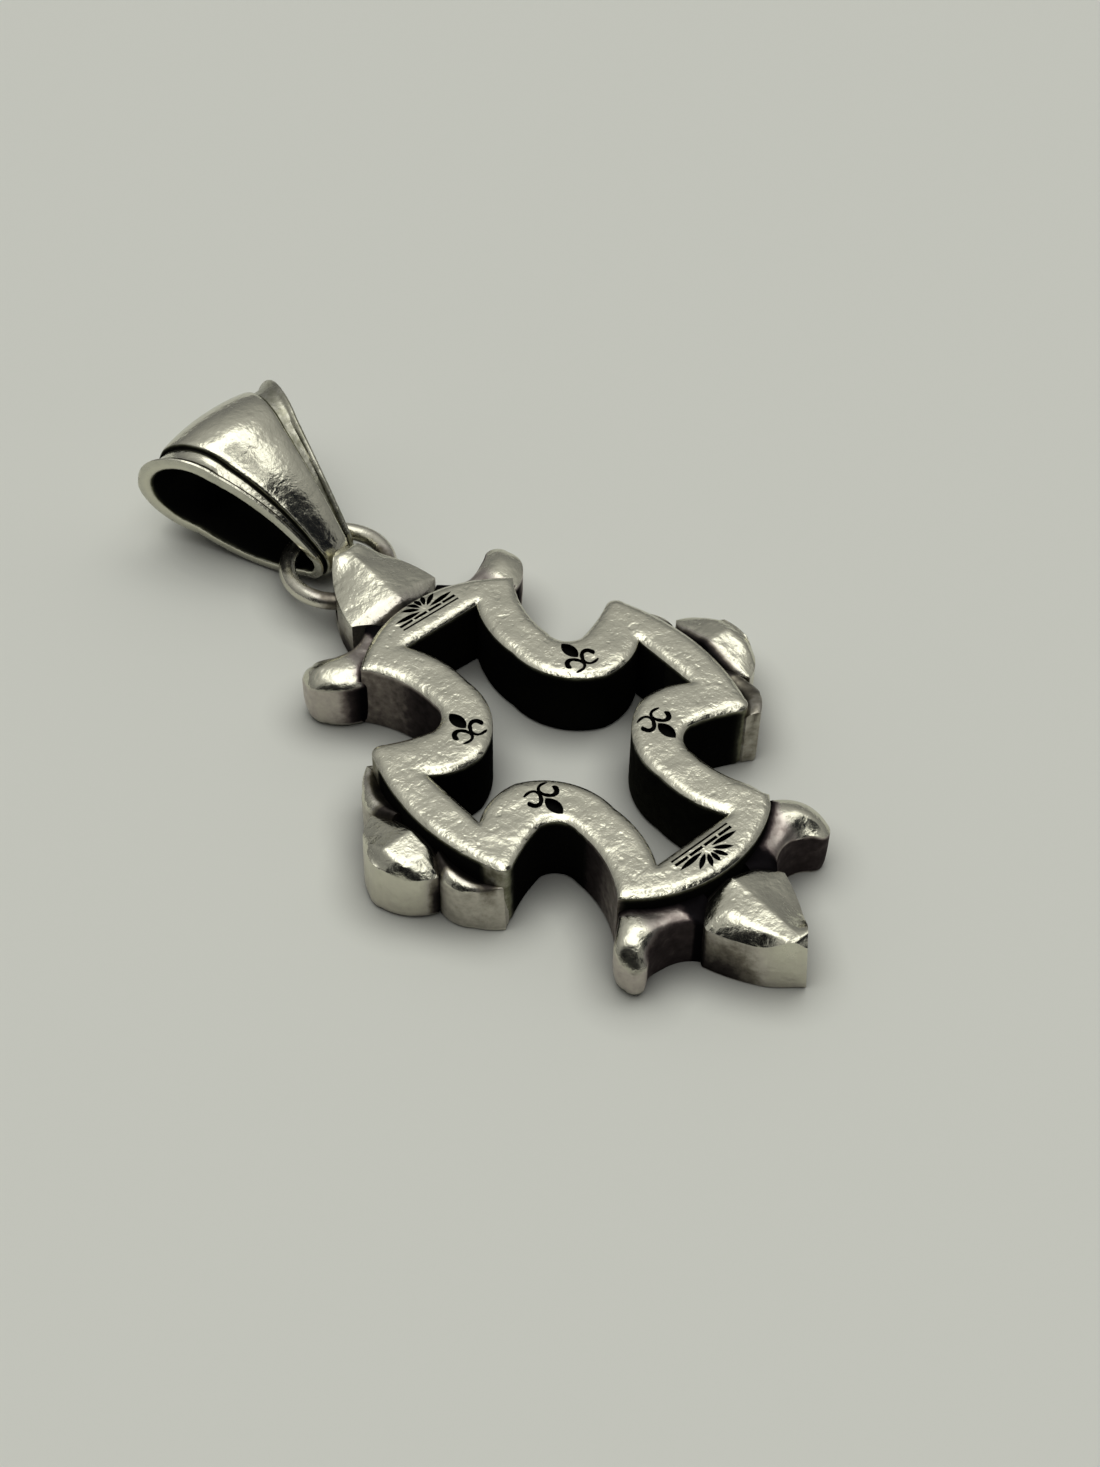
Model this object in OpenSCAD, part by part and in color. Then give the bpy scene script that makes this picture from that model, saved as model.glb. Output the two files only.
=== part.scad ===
// Cross pendant of cast silver, lying on its back: an openwork cross whose four
// arms end in fleurs, a jump ring through the top petal, and a tapered bail.
// Millimetres. +Y runs along the pendant toward the bail, +Z is up, and z = 0 is
// the surface that it lies on. The origin is under the middle of the whole piece.

/* [Cross frame] */
// Half length of a long arm, at the top of its end curve
long_half = 17; // [16.8:0.1:17.2]
// Half length of a short arm, at the top of its end curve
short_half = 13.3; // [13.1:0.1:13.5]
// Half width of a long arm's flared end
long_end = 7.4; // [7.2:0.1:7.6]
// Half width of a short arm's flared end
short_end = 7.25; // [7.1:0.05:7.4]
// Thickness of the frame
frame_t = 6.2; // [5.8:0.1:6.8]
// Depth of the sunk ornament
cut_depth = 0.45; // [0.3:0.05:0.8]

/* [Opening in the frame] */
// Half length of the long slot
slot_long = 13.6; // [13.4:0.1:13.8]
// Half length of the short slot
slot_short = 10.15; // [10:0.05:10.3]
// Half width of the long slot at its waist
slot_waist = 2.2; // [2.05:0.05:2.3]

/* [Fleur ends] */
// Height of a petal's ridge
ridge_z = 5.4; // [5.1:0.1:5.7]
// Drop from a petal's ridge to its side corners
petal_drop = 1.1; // [0.7:0.1:1.4]
// Height of the curls beside the long arms' petals
curl_z = 4.9; // [4.5:0.1:5.2]
// Radius that the top of a curl's horn falls away on
curl_round = 5; // [4.5:0.1:6]
// Height of the lobes beside the short arms' petals
lobe_z = 4.7; // [4.3:0.1:5]
// Reach of the foot petal from the middle of the cross
foot_tip = 24.9; // [24.5:0.1:25.5]
// Reach of the head petal, which carries the jump ring
head_tip = 26.3; // [26.1:0.1:26.4]
// Reach of the side petals
side_tip = 17.6; // [17.2:0.1:18]

/* [Jump ring] */
// Radius of the ring at the middle of its wire
ring_r = 4; // [3.95:0.05:4.05]
// Thickness of the wire
ring_wire = 1.36; // [1.2:0.02:1.4]
// Height of the ring above the surface
ring_z = 2.65; // [2.6:0.05:2.7]
// Play of the wire in the petal's passage
ring_play = 0.25; // [0.15:0.05:0.35]

/* [Bail] */
// Length of the bail, tip to wide end
bail_len = 15.1; // [15:0.05:15.2]
// Outer radius of its wide end
bail_wide_r = 4.05; // [3.95:0.05:4.15]
// Outer radius of its closed tip
bail_tip_r = 1.4; // [1.35:0.05:1.45]
// Thickness of its strap at the wide end
bail_t = 0.85; // [0.7:0.05:0.95]
// Thickness of its strap at the tip, thinned where it was bent
bail_tip_t = 0.5; // [0.45:0.05:0.55]
// Half width of the strap at the tip
bail_tip_half = 1.95; // [1.85:0.05:2]
// Half width of the strap at the wide end
bail_end_half = 6.9; // [6.7:0.1:7.1]
// Half width of the raised middle band, as a part of the strap's
band_part = 0.655; // [0.6:0.005:0.7]
// Height of the raised middle band above the strap
band_raise = 0.4; // [0.3:0.05:0.5]
// Crown of the middle band round the wide end, above its edges
band_crown = 0.5; // [0.4:0.05:0.6]
// Height of the rolled lips above the strap
lip_raise = 0.3; // [0.2:0.05:0.4]
// Width of the rolled lips
lip_wide = 0.45; // [0.4:0.05:0.6]
// Turn of the bail to the left, in degrees
bail_turn = 9; // [8.5:0.5:9.5]
// Slope of the bail, in degrees
bail_slope = 20.4; // [20.2:0.1:20.6]

/* [Hidden] */
$fn = 64;
silver = "silver";

// Middle of the whole lying pendant, seen from the middle of the cross
mid = [0, 9.194, 0];

// Middle of the jump ring, and the bail's tip, seen from the middle of the cross
ring_at = [0, 26.6, ring_z];
bail_tip_at = [0.5, 27.7, 2.17];

// How far a cut runs past the face that it opens
over = 1;

// An angle brought into one turn
function turn(t) = t - 360 * floor(t / 360);

// Centre of the circle through three points
function middle(a, m, b) =
    let (d = 2 * (a.x * (m.y - b.y) + m.x * (b.y - a.y) + b.x * (a.y - m.y)),
         aa = a * a, mm = m * m, bb = b * b)
    [(aa * (m.y - b.y) + mm * (b.y - a.y) + bb * (a.y - m.y)) / d,
     (aa * (b.x - m.x) + mm * (a.x - b.x) + bb * (m.x - a.x)) / d];

// Points along the arc from a through m, up to but without b
function bend(a, m, b, steps = 8) =
    let (c = middle(a, m, b),
         start = atan2(a.y - c.y, a.x - c.x),
         to_m = turn(atan2(m.y - c.y, m.x - c.x) - start),
         to_b = turn(atan2(b.y - c.y, b.x - c.x) - start),
         sweep = to_m < to_b ? to_b : to_b - 360,
         r = norm(a - c))
    [for (i = [0 : steps - 1]) c + r * [cos(start + sweep * i / steps), sin(start + sweep * i / steps)]];

// An outline mirrored in x, from its half that starts and ends on the y axis
function both_sides(half) =
    concat(half, [for (i = [len(half) - 2 : -1 : 1]) [-half[i].x, half[i].y]]);

// An outline mirrored in x and y, from its first quarter, y axis to x axis
function four_ways(q) =
    both_sides(concat(q, [for (i = [len(q) - 2 : -1 : 0]) [q[i].x, -q[i].y]]));

// Cross frame

// Outer outline, one quarter: the long arm's end curve, the notch's long side, its
// round bottom, its short side, the worn corner and the short arm's end curve
long_curve = [3.9, long_half - 0.74];
long_corner = [long_end, long_half - 3];
notch_side = [5.75, 10.6];
notch_in = [5.5, 7.9];
notch_bottom = [6.0, 6.35];
notch_out = [7.2, 5.82];
notch_top = [9.0, 6.35];
short_corner = [short_half - 2.35, short_end];
worn_corner = short_corner + [0.75, -0.08];
short_shoulder = [short_half - 1.25, 6.5];
short_curve = [short_half - 0.31, 3.2];
outer_quarter = concat(
    bend([0, long_half], long_curve, long_corner),
    bend(long_corner, notch_side, notch_in),
    bend(notch_in, notch_bottom, notch_out),
    bend(notch_out, notch_top, short_corner),
    bend(short_corner, worn_corner, short_shoulder, 4),
    bend(short_shoulder, short_curve, [short_half, 0]),
    [[short_half, 0]]);

// Opening, one quarter: two crossed slots whose four corners bulge in as round lobes
slot_corner = [3.4, slot_long];
slot_side = [slot_waist + 0.1, 10.6];
waist = [slot_waist, 8];
lobe_nose = [slot_waist + 1.13, 3.8];
short_waist = [6, 1.75];
short_side = [8, 1.78];
short_slot_corner = [slot_short, 2.8];
inner_quarter = concat(
    [[0, slot_long]],
    bend(slot_corner, slot_side, waist),
    bend(waist, lobe_nose, short_waist),
    bend(short_waist, short_side, short_slot_corner),
    [short_slot_corner, [slot_short, 0]]);

module frame_bar() {
    linear_extrude(frame_t) difference() {
        polygon(four_ways(outer_quarter));
        polygon(four_ways(inner_quarter));
    }
}

// Sunk ornament

// A pointed leaf from the origin up to its length, widest just below its middle
module leaf(length, half) {
    polygon(both_sides(concat(
        bend([0, length], [half, length * 0.48], [0, 0], 6), [[0, 0]])));
}

// Sunk lily: leaf, two scrolls and a curved foot, each clear of the others
lily_leaf = [1.4, 0.48];
lily_leaf_up = 0.07;
scroll_root = [0.1, -0.5];
scroll_end = [1.42, -0.6];
scroll_plan = concat(
    bend(scroll_root, [0.75, 0.0], scroll_end, 7),
    [scroll_end],
    bend([1.08, -0.55], [0.7, -0.32], [0.1, -0.9], 5),
    [[0.1, -0.9]]);
foot_curve = concat(
    bend([-1.0, -1.18], [0, -1.5], [1.0, -1.18], 6),
    bend([0.95, -1.05], [0, -1.24], [-0.95, -1.05], 6));

module lily() {
    translate([0, lily_leaf_up]) leaf(lily_leaf[0], lily_leaf[1]);
    polygon(scroll_plan);
    mirror([1, 0]) polygon(scroll_plan);
    polygon(foot_curve);
}

// Sunk palmette: seven leaves fanned over a dashed bar and a plain bar
bar_half = 2.65;
dash = [1.2, 0.24];
dash_low = -0.26;
dash_gap = (2 * bar_half - 4 * dash.x) / 3;
bar_low = -0.62;
bar_wide = 0.16;
fan_step = 28.5;
fan_mid = 0.15;
fan_in = 0.42;
fan_half = 0.2;
fan_lengths = [1.0, 1.2, 1.5, 2.3];
module palmette() {
    for (k = [-3 : 3])
        translate([0, fan_mid]) rotate(-fan_step * k) translate([0, fan_in])
            leaf(fan_lengths[abs(k)], fan_half);
    for (k = [0 : 3]) translate([-bar_half + k * (dash.x + dash_gap), dash_low]) square(dash);
    translate([-bar_half, bar_low]) square([2 * bar_half, bar_wide]);
}

// Where the lilies and the two palmettes sit on the frame
lily_at = [5.4, 4.65];
head_palmette_y = 15.4;
foot_palmette_y = -14.75;
module sunk_ornament() {
    translate([0, 0, frame_t - cut_depth]) linear_extrude(cut_depth + over) {
        for (x = [-1, 1], y = [-1, 1])
            translate([lily_at.x * x, lily_at.y * y]) rotate(y > 0 ? 0 : 180) lily();
        translate([0, head_palmette_y]) palmette();
        translate([0, foot_palmette_y]) rotate(180) palmette();
    }
}

// Fleur ends. Their plans are drawn pointing to +Y from the middle of the cross.

// A petal: its plan cut from a bar with a ridge, and sloped down to the frame behind
// ridge_start. half_plan runs from its back on the axis to its tip, wide is its half
// width, and back_z its height at the frame.
back_run = 1.2;
module petal(half_plan, ridge_start, back_z, wide) {
    far = 30;
    side = wide + over;
    side_z = ridge_z - petal_drop * side / wide;
    intersection() {
        linear_extrude(ridge_z) polygon(both_sides(half_plan));
        translate([0, far, 0]) rotate([90, 0, 0]) linear_extrude(far)
            polygon([[-side, 0], [side, 0], [side, side_z], [0, ridge_z], [-side, side_z]]);
        translate([-far / 2, 0, 0]) rotate([90, 0, 90]) linear_extrude(far)
            polygon([[0, 0], [far, 0], [far, ridge_z], [ridge_start, ridge_z],
                     [ridge_start - back_run, back_z], [0, back_z]]);
    }
}

// Foot petal: plan, start of its ridge, height at its back
foot_corner = [3.8, 18.95];
foot_ridge = 17.6;
foot_back_z = 4;
foot_plan = concat(
    [[0, 16.3], [1.2, 16.5]],
    bend([2.1, 17.1], [3.2, 18.0], foot_corner, 3),
    bend(foot_corner, [2.6, 21.6], [0, foot_tip]),
    [[0, foot_tip]]);

// Head petal, blunt at its tip
head_corner = [4.1, 19.45];
head_ridge = 18.6;
head_back_z = 3.6;
head_blunt = [0.75, head_tip - 0.3];
head_plan = concat(
    [[0, 16.3], [1.2, 16.9]],
    bend([1.9, 17.9], [3.1, 18.9], head_corner, 3),
    bend(head_corner, [3.45, 21.9], head_blunt),
    [head_blunt, [0, head_tip]]);

// Side petals, blunt at their tips
side_corner = [3.7, 14.6];
side_ridge = 14;
side_back_z = 4;
side_blunt = [0.6, side_tip - 0.15];
side_plan = concat(
    [[0, 12.6], [1.8, 13.1], side_corner],
    bend([3.4, 15.3], [2.1, 16.75], side_blunt, 5),
    [side_blunt, [0, side_tip]]);

// One curl, from the arm's end corner round its knob to the petal
curl_knob = [9.55, 17.2];
curl_mouth = [8.45, 18.25];
curl_petal = [3.5, 18.6];
curl_plan = concat(
    [[2.0, 15.9], [5.0, 15.2], [6.9, 13.6]],
    bend([7.45, 13.9], [9.2, 15.6], curl_knob),
    bend(curl_knob, [9.25, 17.95], curl_mouth, 5),
    bend(curl_mouth, [6.2, 17.3], curl_petal),
    [curl_petal, [2.0, 17.6]]);

// Part of a curl's plan that stays level: the bar between its horn and the petal. The
// horn beside it is highest where it leaves the arm. It falls away from there, in the
// direction horn_turn, as the side of a cylinder that lies across it.
bar_plan = [[1.5, 15], [6.3, 15], [6.3, 18.8], [1.5, 18.8]];
bar_drop = 0.5;
horn_top = [6.4, 15.4];
horn_turn = 43;
horn_wide = 14;

module curl() {
    intersection() {
        linear_extrude(curl_z + over) polygon(curl_plan);
        union() {
            translate([horn_top.x, horn_top.y, curl_z - curl_round])
                rotate([90, 0, horn_turn]) cylinder(r = curl_round, h = horn_wide, center = true);
            linear_extrude(curl_z - bar_drop) polygon(bar_plan);
        }
    }
}

// One lobe beside a side petal, drawn where it stands, from the petal to the short
// arm's corner. Its ridge starts at the petal, turns out and falls to that corner.
lobe_corner = [11.95, 7.62];
lobe_ridge_at = [13.4, 2.6];
lobe_turn = 26;
lobe_fall = 11;
lobe_plan = concat(
    [[12.0, 2.0], [14.0, 2.6]],
    bend([14.6, 4.0], [13.6, 6.05], lobe_corner, 6),
    [lobe_corner, [10.95, 7.55], [11.0, 6.6], [12.2, 4.5]]);
lobe_gable = [[-4, -9], [3, -9], [3, -1.2], [0, 0], [-4, -1.6]];

module lobe() {
    intersection() {
        linear_extrude(lobe_z) polygon(lobe_plan);
        translate([lobe_ridge_at.x, lobe_ridge_at.y, lobe_z]) rotate(lobe_turn)
            rotate([-lobe_fall, 0, 0]) translate([0, 8, 0]) rotate([90, 0, 0])
                linear_extrude(12) polygon(lobe_gable);
    }
}

// Neck under the head petal, across the arm's end, that both curls run into
neck_drop = 1.1;
module head_neck() {
    linear_extrude(curl_z - neck_drop) polygon(both_sides(
        [[0, 16.2], [3.4, 15.6], [4.4, 17.4], [3.2, 18.4], [0, 18.6]]));
}

// Passage that the jump ring turns in, bored along the ring's own circle
module ring_passage() {
    translate(ring_at) rotate_extrude()
        translate([ring_r, 0]) circle(r = ring_wire / 2 + ring_play);
}

module cross() {
    color(silver) translate(-mid) difference() {
        union() {
            frame_bar();
            petal(head_plan, head_ridge, head_back_z, head_corner.x);
            head_neck();
            rotate(180) petal(foot_plan, foot_ridge, foot_back_z, foot_corner.x);
            for (a = [-90, 90]) rotate(a)
                petal(side_plan, side_ridge, side_back_z, side_corner.x);
            for (x = [-1, 1], y = [-1, 1]) scale([x, y, 1]) {
                curl();
                lobe();
            }
        }
        sunk_ornament();
        ring_passage();
    }
}

// Jump ring

module jump_ring() {
    color(silver) translate(ring_at - mid) rotate_extrude()
        translate([ring_r, 0]) circle(d = ring_wire);
}

// Bail, drawn along +Y with its tip at the origin, then turned and sloped

// Side profile of the strap: a closed drop between the two rounds of its own radii,
// whose middles stay where the strap's outer rounds have theirs
tip_mid = bail_tip_r;
wide_mid = bail_len - bail_wide_r;
top_bulge = 0.5;
low_bulge = 1.2;
function drop(r0, r1) =
    let (a = asin((r1 - r0) / (wide_mid - tip_mid)),
         tip = [tip_mid - r0 * sin(a), r0 * cos(a)],
         end = [wide_mid - r1 * sin(a), r1 * cos(a)],
         half_way = (tip + end) / 2, out = [-sin(a), cos(a)],
         top = half_way + top_bulge * out, low = half_way + low_bulge * out,
         tip_turn = r0 * [-cos(45), sin(45)], end_turn = r1 * [cos(45), sin(45)])
    concat(
        bend([tip_mid - r0, 0], [tip_mid, 0] + tip_turn, tip, 4),
        bend(tip, top, end, 10),
        bend(end, [wide_mid, 0] + end_turn, [wide_mid + r1, 0], 7),
        bend([wide_mid + r1, 0], [wide_mid + end_turn.x, -end_turn.y], [end.x, -end.y], 7),
        bend([end.x, -end.y], [low.x, -low.y], [tip.x, -tip.y], 10),
        bend([tip.x, -tip.y], [tip_mid + tip_turn.x, -tip_turn.y], [tip_mid - r0, 0], 4));

// Plan of the strap, as a part of its full width, less a margin at each edge. Its
// edges sag in between the tip and the wide end, and run on past both.
edge_sag = 0.6;
run_on = 1.2;
module strap_plan(part, margin = 0) {
    tip_half = bail_tip_half * part - margin;
    end_half = bail_end_half * part - margin;
    sag_half = (tip_half + end_half) / 2 - edge_sag * part;
    polygon(concat(
        bend([tip_half, 0], [sag_half, bail_len / 2], [end_half, bail_len], 10),
        [[end_half, bail_len], [end_half, bail_len + run_on],
         [-end_half, bail_len + run_on]],
        bend([-end_half, bail_len], [-sag_half, bail_len / 2], [-tip_half, 0], 10),
        [[-tip_half, 0], [-tip_half, -run_on], [tip_half, -run_on]]));
}

// Plan of a layer carried up and down past the whole bail, to cut the layer with
module plan_block() {
    tall = 2 * bail_wide_r + 4;
    translate([0, 0, -tall / 2]) linear_extrude(tall) children();
}

// The bail's loop, raised by an amount and cut to a plan. Its hollow is the same for
// every layer.
module loop_layer(raise) {
    reach = bail_end_half + over;
    intersection() {
        translate([-reach, 0, 0]) rotate([90, 0, 90]) linear_extrude(2 * reach) difference() {
            polygon(drop(bail_tip_r + raise, bail_wide_r + raise));
            polygon(drop(bail_tip_r - bail_tip_t, bail_wide_r - bail_t));
        }
        plan_block() children();
    }
}

// Crown of the middle band: a barrel round the wide end that runs out in the strap
barrel_turn = 123;
module band_barrel() {
    edge_r = bail_wide_r + band_raise;
    half = bail_end_half * band_part;
    intersection() {
        translate([0, wide_mid, 0]) rotate([90, 0, 90]) rotate(-barrel_turn)
            rotate_extrude(angle = 2 * barrel_turn) polygon(concat(
                [[bail_wide_r, -half]],
                bend([edge_r, -half], [edge_r + band_crown, 0], [edge_r, half], 10),
                [[edge_r, half], [bail_wide_r, half]]));
        plan_block() strap_plan(band_part);
    }
}

module bail() {
    color(silver) translate(bail_tip_at - mid) rotate([0, 0, bail_turn])
        rotate([bail_slope, 0, 0]) {
            loop_layer(0) strap_plan(1);
            loop_layer(band_raise) strap_plan(band_part);
            loop_layer(lip_raise) difference() {
                strap_plan(1);
                strap_plan(1, lip_wide);
            }
            band_barrel();
        }
}

cross();
jump_ring();
bail();
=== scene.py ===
import math
import bmesh
import bpy
from mathutils import Matrix, Vector


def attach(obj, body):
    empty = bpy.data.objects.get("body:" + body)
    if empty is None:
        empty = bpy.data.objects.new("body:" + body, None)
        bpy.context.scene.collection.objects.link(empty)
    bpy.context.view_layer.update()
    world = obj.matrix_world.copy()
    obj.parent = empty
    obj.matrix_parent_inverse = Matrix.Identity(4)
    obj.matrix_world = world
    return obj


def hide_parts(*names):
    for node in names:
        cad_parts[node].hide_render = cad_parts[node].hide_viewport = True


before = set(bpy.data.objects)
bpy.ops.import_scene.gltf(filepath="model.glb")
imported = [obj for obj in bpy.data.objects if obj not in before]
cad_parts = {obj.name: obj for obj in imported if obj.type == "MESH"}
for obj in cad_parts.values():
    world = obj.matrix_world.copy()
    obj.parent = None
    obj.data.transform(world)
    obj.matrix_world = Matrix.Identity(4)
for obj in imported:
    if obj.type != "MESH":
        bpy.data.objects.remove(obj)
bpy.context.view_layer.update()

# Frame. The openwork middle of the cross is one thick silver casting, filed flat on
# top. Its rims are rounded and worn bright, its top is dinged all over, and its
# walls and sunk ornament were blackened with sulphur and left dark.
MM = 0.001
CROSS_MIDDLE = Vector((0, -9.194, 0))
FRAME_TOP = 6.2
RIM_DROP = 0.3
RIM_WIDE = 0.8
RIM_ROLL = 2.4
LONG_HALF = 17.0
SHORT_HALF = 13.3
ARM_CORNER = (7.4, 14.0)
SLOT_LONG = 13.6
SLOT_SHORT = 10.15
SLOT_WAIST = 2.2


def mix(a, b, t):
    """The value part of the way from a to b"""
    return a + (b - a) * t


def arc(start, through, end, steps):
    """Points along the arc from start through a point to end, without the start"""
    (ax, ay), (mx, my), (ex, ey) = start, through, end
    d = 2 * (ax * (my - ey) + mx * (ey - ay) + ex * (ay - my))
    aa, mm, ee = ax * ax + ay * ay, mx * mx + my * my, ex * ex + ey * ey
    cx = (aa * (my - ey) + mm * (ey - ay) + ee * (ay - my)) / d
    cy = (aa * (ex - mx) + mm * (ax - ex) + ee * (mx - ax)) / d
    full = 2 * math.pi
    first = math.atan2(ay - cy, ax - cx)
    to_middle = (math.atan2(my - cy, mx - cx) - first) % full
    to_end = (math.atan2(ey - cy, ex - cx) - first) % full
    turn = to_end if to_middle < to_end else to_end - full
    r = math.hypot(ax - cx, ay - cy)
    angles = [first + turn * i / steps for i in range(1, steps + 1)]
    return [(cx + r * math.cos(angle), cy + r * math.sin(angle)) for angle in angles]


def trace(start, moves):
    """Points along an outline, from a table of moves: through (None for a line), end, steps"""
    points = [start]
    for through, end, steps in moves:
        last = points[-1]
        if through:
            points += arc(last, through, end, steps)
        else:
            points += [(mix(last[0], end[0], i / steps), mix(last[1], end[1], i / steps))
                       for i in range(1, steps + 1)]
    return points


# a quarter of the frame, from the end of a long arm to the end of a short one
outer_line = trace((0, LONG_HALF), [
    ((3.9, LONG_HALF - 0.74), ARM_CORNER, 14),
    ((5.75, 10.6), (5.5, 7.9), 12),
    ((6.0, 6.35), (7.2, 5.82), 14),
    ((9.0, 6.35), (10.95, 7.25), 12),
    ((11.7, 7.17), (12.05, 6.5), 6),
    ((SHORT_HALF - 0.31, 3.2), (SHORT_HALF, 0), 12)])
slot_line = trace((0, SLOT_LONG), [
    (None, (3.4, SLOT_LONG), 14),
    ((SLOT_WAIST + 0.1, 10.6), (SLOT_WAIST, 8.0), 12),
    ((3.33, 3.8), (6.0, 1.75), 22),
    ((8.0, 1.78), (SLOT_SHORT, 2.8), 10),
    (None, (SLOT_SHORT, 0), 12)])

# once round the frame's section: the wall that a row belongs to, how far in from it, and
# the height, which is worked out on the top
wall = [(0.35, 0.0), (0.1, 0.08), (0.0, 0.35), (0.0, 2.0), (0.0, 3.6), (0.0, 5.0), (0.0, 5.5),
        (0.0, FRAME_TOP - RIM_DROP)]
rim_steps = (0.04, 0.1, 0.18, 0.28, 0.4, 0.58, RIM_WIDE)
outer_rows = [("outer", d, z) for d, z in wall] + [("outer", d, None) for d in rim_steps]
section = outer_rows + [("between", t, None) for t in (0.2, 0.4, 0.6, 0.8)]
section += [("slot", d, z) for _, d, z in reversed(outer_rows)] + [outer_rows[0]]


def nearest(x, y, line):
    """Distance from a place to an outline"""
    near = 99.0
    for (ax, ay), (bx, by) in zip(line[:-1], line[1:]):
        ex, ey = bx - ax, by - ay
        t = min(max(((x - ax) * ex + (y - ay) * ey) / (ex * ex + ey * ey), 0.0), 1.0)
        near = min(near, math.hypot(x - ax - t * ex, y - ay - t * ey))
    return near


def rim_height(x, y):
    """Height of the frame's top: flat, and rolled off toward the nearest wall"""
    near = min(nearest(x, y, outer_line), nearest(x, y, slot_line), RIM_WIDE)
    return FRAME_TOP - RIM_DROP * (1 - near / RIM_WIDE) ** RIM_ROLL


def frame_point(column, row):
    (ax, ay), (bx, by) = outer_line[column], slot_line[column]
    wide = math.hypot(bx - ax, by - ay)
    kind, at, z = section[row]
    if kind == "between":
        t = mix(RIM_WIDE, wide - RIM_WIDE, at) / wide
    else:
        t = at / wide if kind == "outer" else 1 - at / wide
    x, y = mix(ax, bx, t), mix(ay, by, t)
    return x, y, rim_height(x, y) if z is None else z


def sheet(bm, columns, rows, place):
    """A grid of columns by rows cells, with each vertex moved where place(column, row) says"""
    made = bmesh.ops.create_grid(bm, x_segments=columns, y_segments=rows, size=0.5)
    for vert in made["verts"]:
        vert.co = place(round((vert.co.x + 0.5) * columns), round((vert.co.y + 0.5) * rows))
    return made["verts"]


def close_up(bm):
    """Weld the seams and poles of grids, close the ends that the frame hides, and turn
    the faces outward"""
    bmesh.ops.remove_doubles(bm, verts=bm.verts, dist=0.002)
    bmesh.ops.dissolve_degenerate(bm, dist=0.0005, edges=bm.edges)
    bmesh.ops.holes_fill(bm, edges=[edge for edge in bm.edges if edge.is_boundary])
    bmesh.ops.recalc_face_normals(bm, faces=bm.faces)


def ease(low, high, value):
    """0 before low, 1 past high, and smooth in between; low may be the larger"""
    t = min(max((value - low) / (high - low), 0.0), 1.0)
    return t * t * (3 - 2 * t)


bm = bmesh.new()
sheet(bm, len(outer_line) - 1, len(section) - 1, frame_point)
for axis in "XY":
    bmesh.ops.mirror(bm, geom=bm.verts[:] + bm.edges[:] + bm.faces[:],
                     matrix=Matrix.Identity(4), merge_dist=0.001, axis=axis)
close_up(bm)
# the foot's right-hand corner is worn round
CORNER_WORN = 1.9
for vert in bm.verts:
    away = math.hypot(vert.co.x - ARM_CORNER[0], vert.co.y + ARM_CORNER[1])
    vert.co.x -= 0.5 * ease(CORNER_WORN, 0.0, away)
    vert.co.y -= 0.16 * ease(CORNER_WORN, 0.0, away)


def feed(tree, socket, value):
    """Wire a socket to the output of another node, or set it to a value"""
    if isinstance(value, bpy.types.NodeSocket):
        tree.links.new(value, socket)
    else:
        socket.default_value = value


def add_node(tree, kind, sockets, **settings):
    """A node with its settings made, then its sockets wired or set by name or number"""
    made = tree.nodes.new(kind)
    for key, value in settings.items():
        setattr(made, key, value)
    for key, value in sockets.items():
        feed(tree, made.inputs[key], value)
    return made


def colour_ramp(tree, factor, stops):
    """Colours along a factor, from a table of positions and colours"""
    made = add_node(tree, "ShaderNodeValToRGB", {"Fac": factor})
    band = made.color_ramp
    band.elements.remove(band.elements[-1])
    band.elements[0].position = stops[0][0]
    band.elements[0].color = (*stops[0][1], 1)
    for position, colour in stops[1:]:
        band.elements.new(position).color = (*colour, 1)
    return made.outputs["Color"]


def blend(tree, factor, a, b):
    """Colour a where the factor is 0, and b where it is 1"""
    return add_node(tree, "ShaderNodeMix", {"Factor": factor, "A": a, "B": b},
                    data_type="RGBA").outputs["Result"]


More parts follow.
